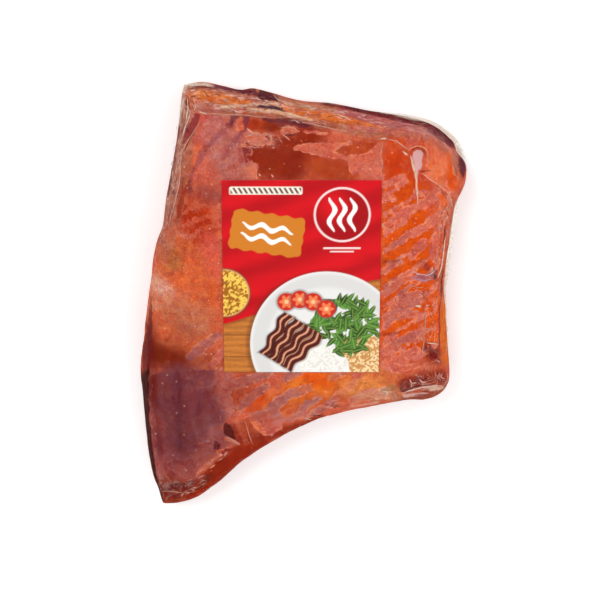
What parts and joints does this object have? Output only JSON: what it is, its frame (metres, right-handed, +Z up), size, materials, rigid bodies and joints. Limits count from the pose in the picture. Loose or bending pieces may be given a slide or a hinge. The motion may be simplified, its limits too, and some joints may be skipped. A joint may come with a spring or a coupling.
{
  "type": "bacon pack",
  "caption": "Vacuum-packed slab of smoked pork belly in clear film with a printed label on its face, lying flat.",
  "frame": {"origin": "middle of the bottom of the whole pack's box, on the surface that the pack lies on", "axes": "+Z up through the labelled face, +Y towards the upper side of the label, +X to the label's right"},
  "size_m": [0.2002, 0.2739, 0.0437],
  "materials": {
    "slab": "clear glossy film drawn tight over smoked meat and fat",
    "label": "satin printed paper"
  },
  "bodies": {
    "root": {"bag": "slab", "label": "label"}
  },
  "joints": []
}
